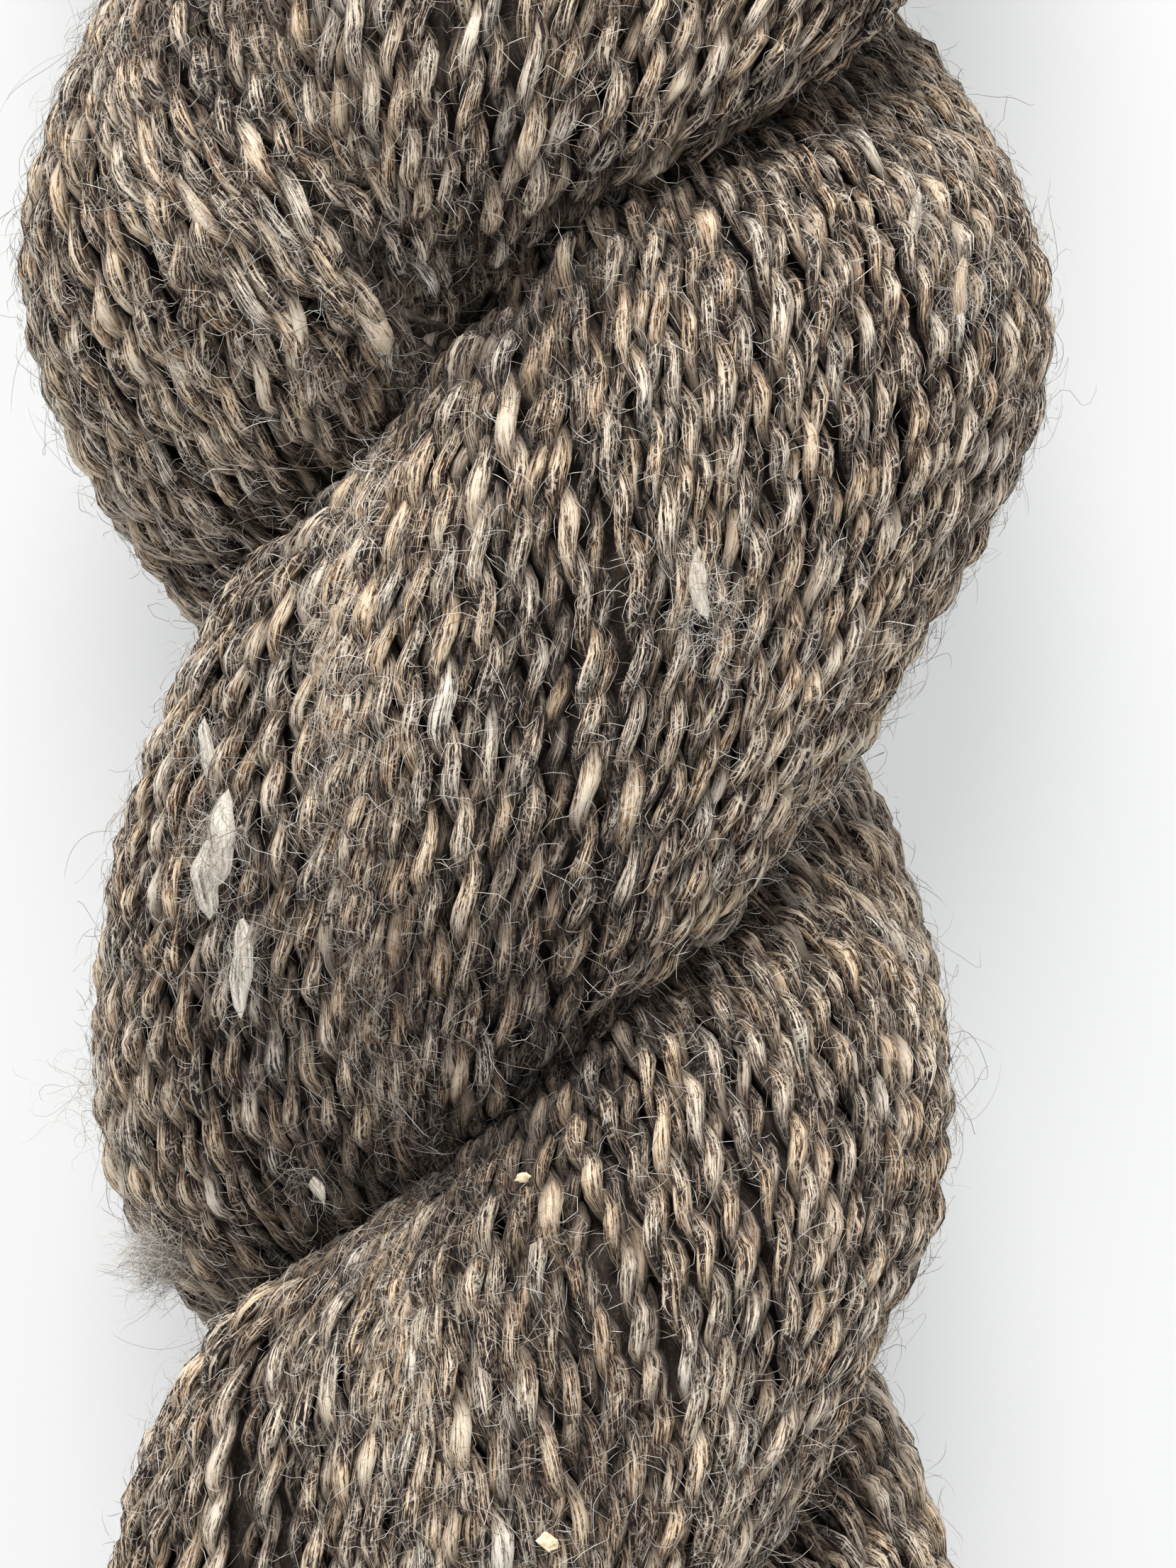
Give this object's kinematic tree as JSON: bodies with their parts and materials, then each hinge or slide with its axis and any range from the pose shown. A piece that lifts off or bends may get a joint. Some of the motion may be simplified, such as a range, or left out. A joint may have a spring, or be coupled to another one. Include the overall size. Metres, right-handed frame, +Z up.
{
  "type": "twisted hank of alpaca yarn",
  "caption": "Soft twisted hank of plied heathered yarn: thick strands turn about each other from the fold to a wrapped end with a short tail loop.",
  "frame": {"origin": "middle of the footprint, on the surface that the hank lies on", "axes": "+Y along the hank from its tucked end to its fold, +Z up"},
  "size_m": [0.0765, 0.28, 0.0572],
  "materials": {
    "yarn": "soft, matt, hairy two-ply alpaca yarn in heathered browns, cream and grey"
  },
  "bodies": {
    "root": {"hank": "yarn"}
  },
  "joints": []
}
